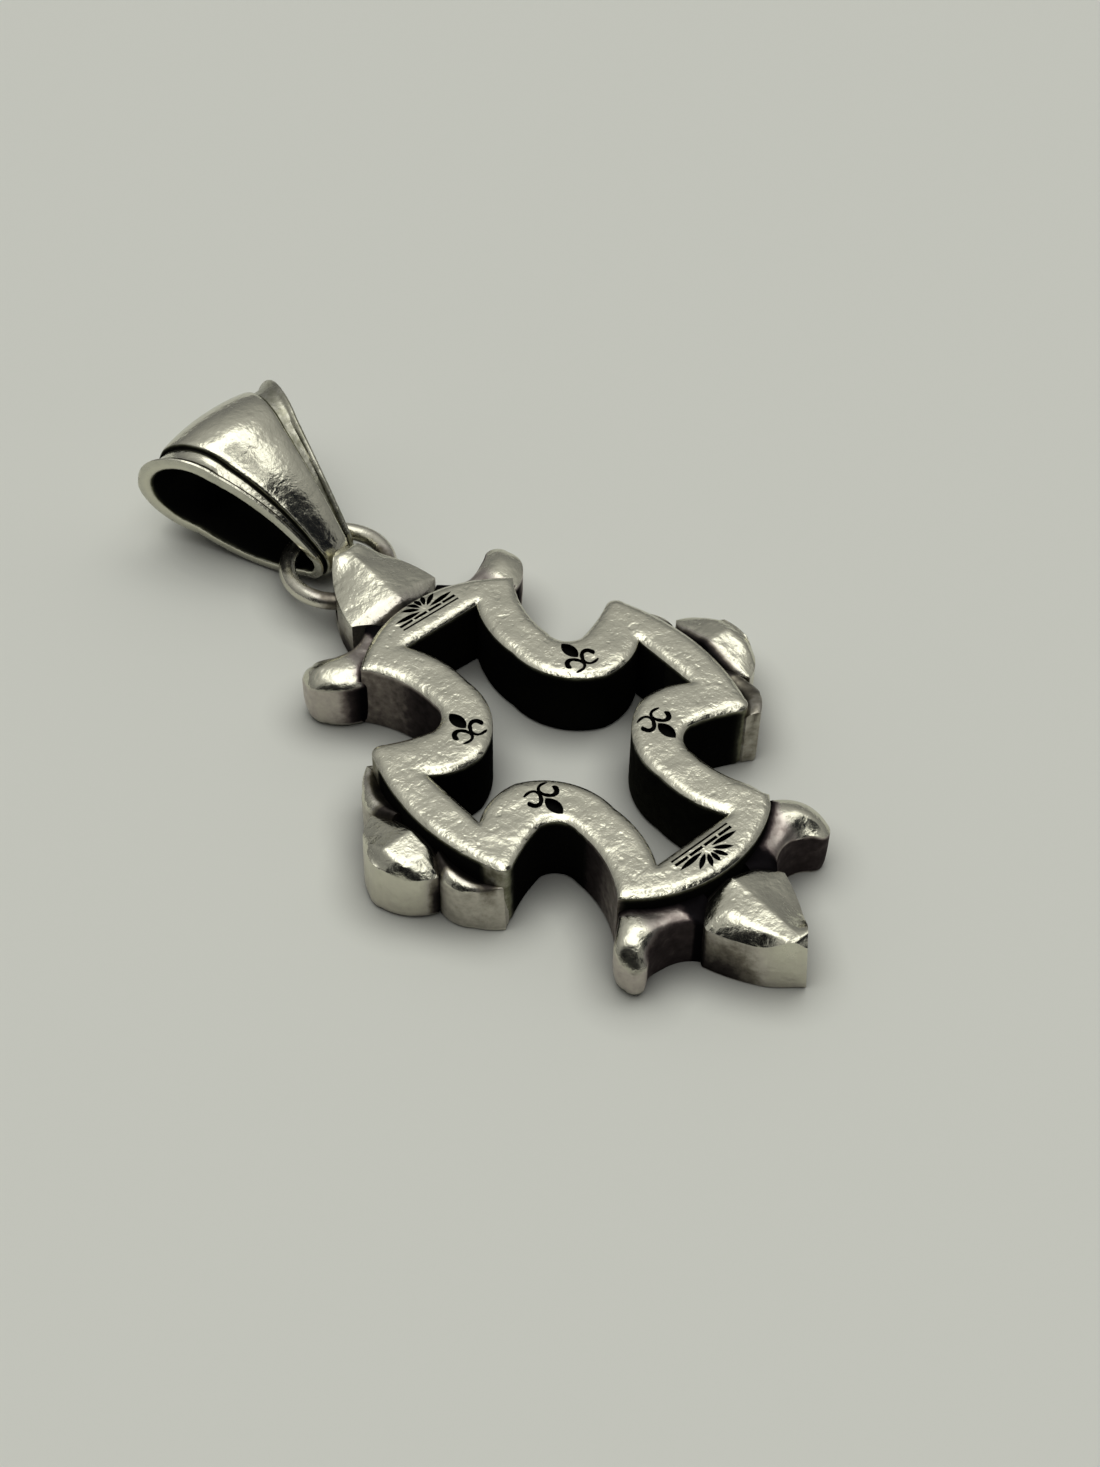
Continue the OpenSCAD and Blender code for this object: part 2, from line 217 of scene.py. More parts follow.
def silver_finish(name, dents, grain, wave, rough):
    """Worn sterling silver: dings of two sizes, pebbling, fine scratches and slow waves in
    the surface, and a sulphur patina that goes from olive to black, or by way of brown
    where there is rust. The same darkening also carries painted shade and painted
    reflections, which the pieces' rules store with the patina"""
    mat = bpy.data.materials.new(name)
    mat.use_nodes = True
    tree = mat.node_tree
    tree.nodes.clear()
    place = tree.nodes.new("ShaderNodeTexCoord").outputs["Object"]
    in_mm = add_node(tree, "ShaderNodeMapping",
                     {"Vector": place, "Scale": (1 / MM, 1 / MM, 1 / MM)}).outputs["Vector"]

    def calc(operation, *values, clamp=False):
        return add_node(tree, "ShaderNodeMath", dict(enumerate(values)),
                        operation=operation, use_clamp=clamp).outputs[0]

    def noise(per_mm, detail=2.0, roughness=0.5):
        return add_node(tree, "ShaderNodeTexNoise", {
            "Vector": in_mm, "Scale": per_mm, "Detail": detail,
            "Roughness": roughness}).outputs["Fac"]

    def dings(per_mm, above, steep):
        """Irregular flat-bottomed pits: 1 where a noise is well above a value, else 0"""
        return add_node(tree, "ShaderNodeMapRange", {
            "Value": noise(per_mm, 1.5), "From Min": above, "From Max": above + steep},
            interpolation_type="SMOOTHSTEP").outputs["Result"]

    def stored(which):
        return add_node(tree, "ShaderNodeAttribute", {}, attribute_name=which).outputs["Fac"]

    # relief in millimetres, each kind with its depth; the stored darkness, patina and painted
    # shade, fills all but the slow waves
    # the stored darkness is sulphur patina together with painted shade and painted reflections
    soot_and_shade = stored("soot_and_shade")
    relief = calc("MULTIPLY", dings(1.25, 0.58, 0.13), -0.036 * dents)
    relief = calc("MULTIPLY_ADD", dings(2.9, 0.6, 0.14), -0.016 * dents, relief)
    relief = calc("MULTIPLY_ADD", noise(2.6, 3.0, 0.55), 0.03 * grain, relief)
    relief = calc("MULTIPLY_ADD", noise(9.0, 3.0, 0.6), 0.004 * grain, relief)
    relief = calc("MULTIPLY", relief, calc("SUBTRACT", 1.0, soot_and_shade))
    relief = calc("MULTIPLY_ADD", noise(0.45), 0.16 * wave, relief)
    bump = add_node(tree, "ShaderNodeBump", {"Strength": 1.0, "Distance": MM, "Height": relief})

    # the patina, and the painted shade stored with it, is mottled where it is neither rubbed off
    # nor full
    mottle = calc("SUBTRACT", noise(1.3, 4.0, 0.6), 0.5)
    edge = calc("MULTIPLY", calc("MULTIPLY", soot_and_shade, calc("SUBTRACT", 1.0, soot_and_shade)), 2.2)
    soot_and_shade = calc("ADD", soot_and_shade, calc("MULTIPLY", mottle, edge), clamp=True)
    bare = (0.64, 0.625, 0.51)
    olive = colour_ramp(tree, soot_and_shade, [
        (0.0, bare), (0.22, (0.52, 0.51, 0.43)), (0.45, (0.20, 0.20, 0.13)),
        (0.7, (0.035, 0.035, 0.026)), (1.0, (0.008, 0.008, 0.007))])
    brown = colour_ramp(tree, soot_and_shade, [
        (0.0, bare), (0.22, (0.50, 0.455, 0.41)), (0.45, (0.22, 0.185, 0.17)),
        (0.7, (0.06, 0.047, 0.047)), (1.0, (0.008, 0.007, 0.008))])
    dull_black = colour_ramp(tree, soot_and_shade, [(0.5, (1.0, 1.0, 1.0)), (1.0, (0.25, 0.25, 0.25))])
    patchy = calc("MULTIPLY_ADD", calc("SUBTRACT", noise(2.2, 3.0), 0.5), 0.22, rough)
    patchy = calc("ADD", patchy, stored("satin"))

    shader = add_node(tree, "ShaderNodeBsdfPrincipled", {
        "Base Color": blend(tree, stored("rust"), olive, brown),
        "Metallic": 1.0,
        "Roughness": calc("MULTIPLY_ADD", soot_and_shade, 0.42, patchy, clamp=True),
        "Specular Tint": dull_black,
        "Normal": bump.outputs["Normal"]})
    add_node(tree, "ShaderNodeOutputMaterial", {"Surface": shader.outputs["BSDF"]})
    return mat


def black_finish(name):
    """Sulphur black that nothing has rubbed: the floor and sides of a cut"""
    mat = bpy.data.materials.new(name)
    mat.use_nodes = True
    tree = mat.node_tree
    place = tree.nodes.new("ShaderNodeTexCoord").outputs["Object"]
    grit = add_node(tree, "ShaderNodeTexNoise",
                    {"Vector": place, "Scale": 5 / MM, "Detail": 3}).outputs["Fac"]
    bump = add_node(tree, "ShaderNodeBump", {"Distance": 0.02 * MM, "Height": grit})
    shader = tree.nodes["Principled BSDF"]
    feed(tree, shader.inputs["Base Color"],
         colour_ramp(tree, grit, [(0.0, (0.001, 0.001, 0.001)), (1.0, (0.008, 0.008, 0.007))]))
    feed(tree, shader.inputs["Normal"], bump.outputs["Normal"])
    shader.inputs["Metallic"].default_value = 1.0
    shader.inputs["Roughness"].default_value = 0.5
    return mat


CREASE = math.radians(38)


def finish_piece(name, bm, materials):
    """Make a piece from a mesh in millimetres about the cross's middle"""
    bmesh.ops.translate(bm, verts=bm.verts, vec=CROSS_MIDDLE)
    bmesh.ops.scale(bm, verts=bm.verts, vec=(MM, MM, MM))
    mesh = bpy.data.meshes.new(name)
    bm.to_mesh(mesh)
    bm.free()
    for material in materials:
        mesh.materials.append(material)
    mesh.shade_smooth()
    mesh.set_sharp_from_angle(angle=CREASE)
    piece = bpy.data.objects.new(name, mesh)
    bpy.context.scene.collection.objects.link(piece)
    return piece


cast_silver = silver_finish("cast_silver", dents=0.5, grain=1.2, wave=1.0, rough=0.2)
sunk_black = black_finish("sunk_black")
cross_frame = finish_piece("cross_frame", bm, [cast_silver, sunk_black])

# the ornament is cut down into the top: a lily inside each of the four bends, and at
# the head and the foot a palmette over a dashed bar and a plain one
CUT_DEPTH = 0.45
CUT_OVER = 0.3
LILY_AT = (5.4, 4.65)
LILY_LEAF_DOWN = 0.33
HEAD_PALMETTE = 15.4
FOOT_PALMETTE = -14.75
FAN_STEP = 28.5
FAN_R = 0.42
FAN_UP = 0.15
FAN_LEAF = (1.0, 1.2, 1.5, 2.3)
FAN_LEAF_HALF = 0.2
BAR_HALF = 2.65
DASH = 1.2
DASH_GAP = 0.5 / 3


def lens(length, half, steps, widest=0.48):
    """A pointed leaf from the origin up to its length, widest at a part of it"""
    side = [(0, length)] + arc((0, length), (half, length * widest), (0, 0), steps)
    return side + [(-x, y) for x, y in side[-2:0:-1]]


def bar(left, right, low, high):
    """The corners of a straight bar"""
    return [(left, low), (right, low), (right, high), (left, high)]


def stamp(bm, points, at, turn):
    """One closed cutter: a plan set at a place and turned, up from the cut's floor"""
    turned = Matrix.Rotation(math.radians(turn), 2)
    spots = [turned @ Vector(point) for point in points]
    floor = FRAME_TOP - CUT_DEPTH
    corners = [bm.verts.new((spot.x + at[0], spot.y + at[1], floor)) for spot in spots]
    grown = bmesh.ops.extrude_face_region(bm, geom=[bm.faces.new(corners)], use_keep_orig=True)
    bmesh.ops.translate(bm, vec=(0, 0, CUT_DEPTH + CUT_OVER),
                        verts=[g for g in grown["geom"] if isinstance(g, bmesh.types.BMVert)])


def carve(piece, bm, name):
    """Cut closed forms in millimetres out of a piece"""
    bmesh.ops.recalc_face_normals(bm, faces=bm.faces)
    cutters = finish_piece(name, bm, piece.data.materials)
    cut = piece.modifiers.new(name, "BOOLEAN")
    cut.operation = "DIFFERENCE"
    cut.solver = "EXACT"
    cut.object = cutters
    carved = bpy.data.meshes.new_from_object(
        piece.evaluated_get(bpy.context.evaluated_depsgraph_get()))
    piece.modifiers.clear()
    piece.data = carved
    bpy.data.objects.remove(cutters)
    carved.set_sharp_from_angle(angle=CREASE)


bm = bmesh.new()
# half of a lily's body, down its axis: hooked scroll, waist and foot stroke
lily_half = trace((0, -0.66), [
    ((0.14, -0.36), (0.42, -0.1), 5), ((0.95, 0.0), (1.31, -0.38), 8),
    ((1.34, -0.72), (1.06, -0.86), 5), (None, (0.97, -0.62), 1),
    ((0.72, -0.34), (0.42, -0.56), 7), ((0.25, -0.78), (0.2, -0.98), 4),
    ((0.3, -1.24), (0.62, -1.33), 5), (None, (1.08, -1.31), 1), (None, (1.1, -1.43), 1),
    ((0.6, -1.58), (0.22, -1.47), 6), ((0.08, -1.36), (0, -1.2), 3)])
lily_body = lily_half + [(-x, y) for x, y in lily_half[-2:0:-1]]
lily_leaf = lens(1.85, 0.5, 10, widest=0.57)
for way, turn in ((1, 0), (-1, 180)):
    for x in (LILY_AT[0], -LILY_AT[0]):
        y = way * LILY_AT[1]
        stamp(bm, lily_leaf, (x, y - LILY_LEAF_DOWN * way), turn)
        stamp(bm, lily_body, (x, y), turn)
for way, turn, y in ((1, 0, HEAD_PALMETTE), (-1, 180, FOOT_PALMETTE)):
    # seven leaves fan out over the bars, the middle one the shortest
    for k in range(-3, 4):
        lean = math.radians(-FAN_STEP * k)
        out = (-FAN_R * math.sin(lean), FAN_UP + FAN_R * math.cos(lean))
        stamp(bm, lens(FAN_LEAF[abs(k)], FAN_LEAF_HALF, 6), (way * out[0], y + way * out[1]),
              turn - FAN_STEP * k)
    for k in range(4):
        x = -BAR_HALF + k * (DASH + DASH_GAP)
        stamp(bm, bar(x, x + DASH, -0.26, -0.02), (0, y), turn)
    stamp(bm, bar(-BAR_HALF, BAR_HALF, -0.62, -0.46), (0, y), turn)
for face in bm.faces:
    face.material_index = 1
carve(cross_frame, bm, "ornament")


def upright(normal):
    """1 on a wall, 0 on a top"""
    return ease(0.6, 0.2, abs(normal.z))


def patina(piece, rule, cast=True):
    """Store how black (soot, with painted shade and painted reflections) and how brown
    (rust) each vertex is. The rule gets its place in millimetres about the cross's
    middle, and its normal. Walls keep the matte skin of a casting (satin)."""
    mesh = piece.data
    soot_and_shade, rust, satin = (mesh.attributes.new(name, "FLOAT", "POINT")
                         for name in ("soot_and_shade", "rust", "satin"))
    for i, vert in enumerate(mesh.vertices):
        soot_and_shade.data[i].value, rust.data[i].value = rule(vert.co / MM - CROSS_MIDDLE, vert.normal)
        satin.data[i].value = 0.2 * upright(vert.normal) if cast else 0.0


def frame_patina(at, normal):
    """Black inside and over the fleurs, brown on the long arms' sides, olive at the rim, and
    painted a little lighter on the slot's walls at the foot's right, where light falls on them
    """
    x, y, z = abs(at.x), abs(at.y), at.z
    if z > FRAME_TOP - RIM_DROP + 0.02:
        return 0.0, 0.0
    down = ease(5.9, 5.5, z)
    rim, brushed_rim = 0.42, 0.3
    if nearest(x, y, slot_line) < nearest(x, y, outer_line):
        # the slot's walls at the foot's right are painted a little lighter, as lit by the lamp
        return mix(rim, 0.9 if at.x > 0 > at.y else 1.0, down), 0.0
    long_side = 5.4 < x < 7.45 and y > 8.5 and abs(normal.x) > abs(normal.y)
    # the notch left of the head was brushed clean as far as its bottom
    notch = at.x < 0 < at.y and x < 7.45 and y > 5.9
    if long_side or notch:
        return mix(brushed_rim, mix(0.85, 0.5, ease(9.0, 12.5, y)), down), 0.85
    # so were the corners of each short arm
    if x > 11.6 and y > 5.9:
        return mix(brushed_rim, 0.42, down), 0.3
    if x > 10 and y > 6.7:
        return mix(rim, mix(0.42, 1.0, ease(11.4, 10.5, x)), down), 0.0
    return mix(rim, 1.0, down), 0.0


def belongs(piece, node):
    """The piece stands in for a CAD node: the node is hidden and the piece hangs from the root body
    """
    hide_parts(node)
    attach(piece, "root")


patina(cross_frame, frame_patina)
belongs(cross_frame, "cross")

# Petals. Each arm ends in a fleur whose middle is a petal of cast silver: a ridge, two
# pillowed facets that curl down to a crisp line, and upright walls. The head's is bored
# for the ring.
RIDGE = 5.4
petal_silver = silver_finish("petal_silver", dents=0.4, grain=1.25, wave=1.0, rough=0.2)
petal_across = [-1, -0.992, -0.975, -0.95, -0.91, -0.86, -0.8, -0.73, -0.65, -0.56, -0.46, -0.36,
                -0.26, -0.17, -0.09, -0.04, 0]
petal_across += [-part for part in petal_across[-2::-1]]
# part of the way in to the petal's heart, and height, up the foot of its wall
petal_foot = [(1.0, 0.0), (0.5, 0.08), (0.16, 0.35), (0.02, 0.8), (0.0, 1.2), (0.0, 2.6)]


def petal(bm, half_line, quarter_turn, ridge_from, back_z, sag, full_sag, curl_from, tip_round,
          tip_drop, foot_round, lean, slant=0.0, flat_side=0, nose=0.0, plump=0.25, dip=0.0):
    """A petal that points to +Y, then turned by quarters. half_line runs from its back
    to its tip. Behind ridge_from it slopes down to back_z. The facets' edge lies sag
    under the ridge where the petal is wider than full_sag. Past curl_from the facets
    stay level and curl down late. The ridge rounds down by tip_drop over its last
    tip_round. The foot of the wall is rounded by foot_round, and the tip leans in by
    lean, with its foot set aside by slant. The facet on flat_side doesn't curl, and the
    nose is worn round over its edge by nose. The facets bulge by plump, and the top dips
    to the frame at a slope of dip."""
    tip_y = half_line[-1][1]
    heart = ridge_from + 1.5
    back_slope = 1.2
    top_row = len(petal_foot) + len(petal_across)
    rows = len(petal_foot) + top_row

    def place(column, row):
        half, y = half_line[column]
        ridge = RIDGE - (RIDGE - back_z) * ease(ridge_from, ridge_from - back_slope, y)
        ridge -= dip * max(min(tip_y - 2.3 - y, 6.0), 0.0)
        edge = ridge - sag * ease(full_sag[0], full_sag[1], half)
        ridge -= tip_drop * ease(tip_y - tip_round, tip_y, y) ** 2
        worn = ease(tip_y - 1.7, tip_y - 0.5, y) if nose else 0.0
        edge = min(edge - nose * worn, ridge - 0.01)
        drop = ridge - edge
        row %= rows
        if row < len(petal_foot) or row >= top_row:
            side = -1 if row < len(petal_foot) else 1
            tucked, z = petal_foot[row if side < 0 else rows - 1 - row]
            tucked *= foot_round / 3
            x, y = side * half * (1 - tucked), mix(y, heart, tucked)
            z = min(z * max(foot_round, 0.3), edge)
            if z > 0.8:
                z = min(2.6, edge - 0.2)
        else:
            part = petal_across[row - len(petal_foot)]
            away = math.sqrt(part * part + 0.05 ** 2) - 0.05
            late = ease(curl_from, curl_from + 2.5, y)
            level = 0.3 if nose else 0.12
            curled = level * away + (1 - level) * max(2 * away - 1, 0.0) ** 1.5
            if half == 0 or part * flat_side > 0:
                curled = away
            down = mix((1 - plump) * away + plump * away ** 4, curled, late)
            down = mix(down, 1 - math.sqrt(max(1 - away * away, 0.0)), worn)
            x, z = part * half, ridge - drop * (down if column else 1.0)
        at_tip = ease(tip_y - 2.0, tip_y, y)
        return x + slant * at_tip * (1 - z / RIDGE), y - lean * at_tip * z / RIDGE, z

    made = sheet(bm, len(half_line) - 1, rows, place)
    turned = Matrix.Rotation(math.pi / 2 * quarter_turn, 3, "Z")
    bmesh.ops.rotate(bm, verts=made, cent=(0, 0, 0), matrix=turned)


def petal_line(back, corner, through, blunt, tip_y, steps):
    """Half a petal's plan: out along its back, round its side and in to its tip"""
    line = back + arc(back[-1], through[0], corner, 7) + arc(corner, through[1], blunt, steps)
    if blunt[0] > 0:
        line += [(blunt[0] * 0.85, mix(blunt[1], tip_y, 0.45)),
                 (blunt[0] * 0.5, mix(blunt[1], tip_y, 0.85)), (0.0, tip_y)]
    return line


foot_line = petal_line([(0.0, 16.3), (1.2, 16.5), (2.1, 17.1)], (3.8, 18.95),
                       ((3.2, 18.0), (2.6, 21.6)), (0.0, 24.9), 24.9, 36)
head_line = petal_line([(0.0, 16.3), (1.2, 16.9), (1.9, 17.9)], (4.1, 19.45),
                       ((3.1, 18.9), (3.45, 21.9)), (0.75, 26.0), 26.3, 32)
left_line = petal_line([(0.0, 12.6), (1.8, 13.1), (2.8, 13.8)], (3.7, 14.6),
                       ((3.3, 14.2), (2.1, 16.75)), (0.6, 17.45), 17.6, 24)
right_line = petal_line([(0.0, 12.6), (1.5, 13.3), (2.3, 14.0)], (4.0, 14.95),
                        ((3.2, 14.45), (2.7, 16.8)), (0.9, 17.5), 17.6, 24)
bm = bmesh.new()
petal(bm, right_line, 3, ridge_from=14.0, back_z=4.0, sag=1.25, full_sag=(0.3, 2.4), curl_from=15.5,
      tip_round=1.6, tip_drop=0.5, foot_round=0.6, lean=0.1)
bmesh.ops.translate(bm, verts=bm.verts, vec=(0, -0.3, 0))
petal(bm, foot_line, 2, ridge_from=17.6, back_z=4.0, sag=1.25, full_sag=(0.7, 2.3), curl_from=17.0,
      tip_round=0.9, tip_drop=0.6, foot_round=0.1, lean=0.2, slant=-0.4, flat_side=-1)
petal(bm, head_line, 0, ridge_from=18.6, back_z=3.6, sag=1.15, full_sag=(0.7, 2.6), curl_from=23.5,
      tip_round=1.6, tip_drop=0.6, foot_round=0.2, lean=0.2, plump=0.05, dip=0.07)
petal(bm, left_line, 1, ridge_from=14.0, back_z=4.0, sag=1.25, full_sag=(0.8, 3.0), curl_from=11.5,
      tip_round=1.7, tip_drop=0.9, foot_round=0.6, lean=0.25, flat_side=1, nose=1.0)
close_up(bm)
petals = finish_piece("petals", bm, [petal_silver])

RING_AT = (0, 26.6, 2.65)
RING_R = 4.0
WIRE_R = 0.68
RING_PLAY = 0.25


def round_ring(wire_r, around):
    """A ring of round wire, where the jump ring lies"""
    bm = bmesh.new()
    wire = bmesh.ops.create_circle(bm, segments=32, radius=wire_r)["verts"]
    bmesh.ops.rotate(bm, verts=wire, cent=(0, 0, 0), matrix=Matrix.Rotation(math.pi / 2, 3, "X"))
    bmesh.ops.translate(bm, verts=wire, vec=(RING_R, 0, 0))
    bmesh.ops.spin(bm, geom=bm.verts[:] + bm.edges[:], cent=(0, 0, 0), axis=(0, 0, 1),
                   angle=2 * math.pi, steps=around, use_merge=True, use_duplicate=False)
    bmesh.ops.translate(bm, verts=bm.verts, vec=RING_AT)
    return bm


carve(petals, round_ring(WIRE_R + RING_PLAY, 96), "passage")


def petal_patina(at, normal):
    """Bright, with painted shade under and beside the frame, painted reflections of the shaded
    table low on the walls, smoke toward the frame on the head's, and dark in the ring's passage
    """
    x, y, z = abs(at.x), abs(at.y), at.z
    # painted shade under and beside the frame, and painted reflections of the shaded table on the
    # walls, darker toward the back
    if y > x:
        shade_under_frame = ease(17.5, 16.7, y)
        shade_beside_frame = ease(19.4, 18.9, y)
        painted_wall_shade = mix(0.08, 0.72, ease(23.8, 20.6, y))
    else:
        shade_under_frame = ease(13.9, 13.0, x if at.x < 0 else x - 1.0)
        shade_beside_frame = ease(15.8, 14.5, x)
        painted_wall_shade = mix(0.08, 0.34, ease(16.0, 14.2, x))
    # the painted reflections fade up the wall, and painted shade gathers where it meets the table
    painted_wall_shade *= upright(normal) * mix(0.6, 1.0, ease(4.4, 3.2, z))
    painted_wall_shade += 0.12 * ease(1.2, 0.0, z)
    off_wire = math.hypot(math.hypot(at.x - RING_AT[0], at.y - RING_AT[1]) - RING_R, z - RING_AT[2])
    bored = ease(WIRE_R + RING_PLAY + 0.25, WIRE_R + RING_PLAY + 0.02, off_wire)
    smoked = 0.24 * ease(20.0, 18.0, at.y) if at.y > 14 else 0.0
    return max(shade_under_frame, upright(normal) * shade_beside_frame, painted_wall_shade, bored, smoked), 0.6


patina(petals, petal_patina)
belongs(petals, "cross")

# Curls. On either side of each long arm's petal a horn leaves the arm's end, turns out
# and rounds back. They are smooth silver castings, joined to the arm without a seam,
# bright on top and brown-black in their bend.
curl_silver = silver_finish("curl_silver", dents=0.3, grain=0.9, wave=0.8, rough=0.22)
BAR_TOP = 4.7
HORN_AT = (6.6, 15.2)
HORN_HEART = (7.6, 16.4)
HORN_TURN = math.radians(43)
# height and part of the way in to the horn's heart, up the foot of its wall
horn_foot = [(0.0, 0.42), (0.1, 0.27), (0.4, 0.12), (0.9, 0.04), (1.6, 0.0), (2.4, 0.0)]
FOOT_HIGH = 2.6
horn_rim = (0.0, 0.03, 0.08, 0.15, 0.24, 0.35, 0.5, 0.68, 0.9)
horn_top = [("back", d) for d in horn_rim] + [("between", t) for t in (0.2, 0.4, 0.6, 0.8)]
horn_top += [("front", d) for d in reversed(horn_rim)]
HORN_ROWS = 2 * len(horn_foot) + len(horn_top)


def curl_lines(flank, side, knob, crown, shoulder, tip):
    """A curl's plan: the line of its bend, and that of its back, both from the petal"""
    bend = trace((2.0, 17.5), [(None, (3.5, 18.6), 5),
                               ((6.2, 17.3), (tip[0] - 0.35, tip[1] - 0.2), 26), (None, tip, 3)])
    back = trace((2.0, 15.9), [(None, (5.0, 15.2), 6), (None, (6.95, 13.65), 6),
                               (flank, side, 10), (knob, crown, 6), (shoulder, tip, 6)])
    return bend, back


def roll(part, tight):
    """How far a top has rolled down, part of the way to its wall"""
    return mix(part * part, 1 - math.sqrt(1 - part * part), tight)


def curl_top(x, y, lines, top, fall, over_back, over_front, tight):
    """Height of a curl: its bar is level, its horn falls along its own turn, and both
    roll down to the walls"""
    bend, back = lines
    horn = ease(5.4, 7.2, x)
    along = (x - HORN_AT[0]) * math.cos(HORN_TURN) + (y - HORN_AT[1]) * math.sin(HORN_TURN)
    level = mix(BAR_TOP, top, horn) - fall * max(along - 0.9, 0.0) ** 2
    to_back = max(1 - nearest(x, y, back[12:]) / over_back[0], 0.0)
    to_front = max(1 - nearest(x, y, bend) / mix(0.8, over_front[0], horn), 0.0)
    level -= over_back[1] * roll(to_back, tight)
    front_drop = mix(0.6, over_front[1], horn) * roll(to_front, max(tight, 1 - horn))
    return level - front_drop * (1 - to_back)


def curl_point(column, row, lines, tuck, **rolls):
    (bx, by), (ax, ay) = lines[0][column], lines[1][column]
    wide = max(math.hypot(bx - ax, by - ay), 0.001)
    row %= HORN_ROWS
    if row < len(horn_foot) or row >= len(horn_foot) + len(horn_top):
        at_back = row < len(horn_foot)
        z, tucked = horn_foot[row if at_back else HORN_ROWS - 1 - row]
        x, y = (ax, ay) if at_back else (bx, by)
        z *= (curl_top(x, y, lines, **rolls) - 0.1) / FOOT_HIGH
        tucked *= tuck * ease(5.5, 8.0, x)
        return mix(x, HORN_HEART[0], tucked), mix(y, HORN_HEART[1], tucked), z
    kind, at = horn_top[row - len(horn_foot)]
    rim = min(horn_rim[-1], wide / 2)
    if kind == "between":
        t = mix(rim, wide - rim, at) / wide
    else:
        t = min(at, rim) / wide
        t = t if kind == "back" else 1 - t
    x, y = mix(ax, bx, t), mix(ay, by, t)
    return x, y, curl_top(x, y, lines, **rolls)


# every horn was bent by hand. For each side of the cross: the points that its back runs
# through, how far its foot tucks in, the height of its top, how fast that falls, how
# wide and how deep it rolls down at its back and at its front, and how tight those are
horns = {
    (1, 1): dict(
        lines=curl_lines((7.75, 13.9), (9.6, 15.4), (9.95, 16.4), (9.8, 17.4),
                         (9.45, 18.2), (8.5, 18.4)),
        tuck=0.6, top=5.45, fall=0.01, over_back=(2.0, 0.65), over_front=(1.5, 0.6), tight=0),
    (-1, 1): dict(
        lines=curl_lines((8.2, 14.0), (9.9, 15.5), (10.4, 16.5), (10.25, 17.4),
                         (9.8, 18.15), (8.8, 18.3)),
        tuck=0.5, top=5.1, fall=0.05, over_back=(1.7, 1.05), over_front=(1.3, 0.9), tight=0.7),
    (-1, -1): dict(
        lines=curl_lines((7.6, 14.3), (9.0, 15.5), (9.6, 16.3), (9.55, 17.2),
                         (9.3, 17.9), (8.5, 18.2)),
        tuck=1.0, top=4.95, fall=0.2, over_back=(1.3, 0.78), over_front=(1.3, 0.9), tight=1),
    (1, -1): dict(
        lines=curl_lines((7.75, 14.1), (9.1, 15.5), (9.5, 16.5), (9.5, 17.5),
                         (9.2, 18.2), (8.3, 18.35)),
        tuck=0.2, top=5.2, fall=0.1, over_back=(1.6, 0.6), over_front=(1.9, 1.15), tight=0)}
bm = bmesh.new()
for (across, along), shape in horns.items():
    made = sheet(bm, len(shape["lines"][0]) - 1, HORN_ROWS,
                 lambda column, row: curl_point(column, row, **shape))
    bmesh.ops.scale(bm, verts=made, vec=(across, along, 1))
close_up(bm)
curls = finish_piece("curls", bm, [curl_silver])


def curl_patina(at, normal):
    """Brown in the bend and toward the petal, black on the walls that face it, and painted shade
    under the frame's edge and in the crease by the petal
    """
    x, y, z = abs(at.x), abs(at.y), at.z
    bend = horns[(1 if at.x > 0 else -1, 1 if at.y > 0 else -1)]["lines"][0]
    in_bend = 0.36 * ease(7.4, 6.0, x)
    reach = 0.55 if at.x < 0 else 0.16
    wall = ease(reach, 0.02, nearest(x, y, bend[5:])) * ease(8.6, 7.9, x)
    if at.x > 0 > at.y:
        wall = upright(normal) * ease(0.1, 0.5, -normal.y)
    flank = upright(normal) * ease(9.9, 7.6, x) * ease(15.9, 14.9, y)
    # painted shade under the frame's edge and in the crease by the petal
    shade_under_frame = ease(1.0, 0.1, y - (17.0 - 0.055 * x * x)) if x < 7.5 else 0.0
    shade_by_petal = ease(4.35, 3.9, x)
    return max(in_bend, 0.74 * wall, shade_under_frame, shade_by_petal, flank, 0.2 * upright(normal)), 1.0


patina(curls, curl_patina)
belongs(curls, "cross")

# Lobes. Beside the petal of each short arm a lobe of cast silver falls away along the
# arm's end, joined to both without a seam. It has a soft bright ridge, a dark inner
# facet, and a wall pitted from the casting.
lobe_out = trace((13.95, 2.4), [(None, (14.35, 3.2), 2), ((14.45, 4.7), (13.6, 6.05), 10),
                                ((12.9, 6.9), (11.95, 7.62), 6)])
lobe_in = trace((12.4, 2.0), [((12.2, 4.4), (11.2, 7.0), 14), (None, (11.4, 7.45), 2),
                              (None, (11.95, 7.62), 2)])
# how far in from the wall, and height, up the foot of it
lobe_foot = [(0.35, 0.0), (0.1, 0.08), (0.0, 0.35), (0.0, 2.0), (0.0, 3.2)]
lobe_over = [0, 0.015, 0.05, 0.1, 0.17, 0.26, 0.36, 0.46, 0.56, 0.66, 0.76, 0.85, 0.93, 0.98, 1]
LOBE_ROWS = 2 * len(lobe_foot) + len(lobe_over)
LOBE_PEAK = 0.62


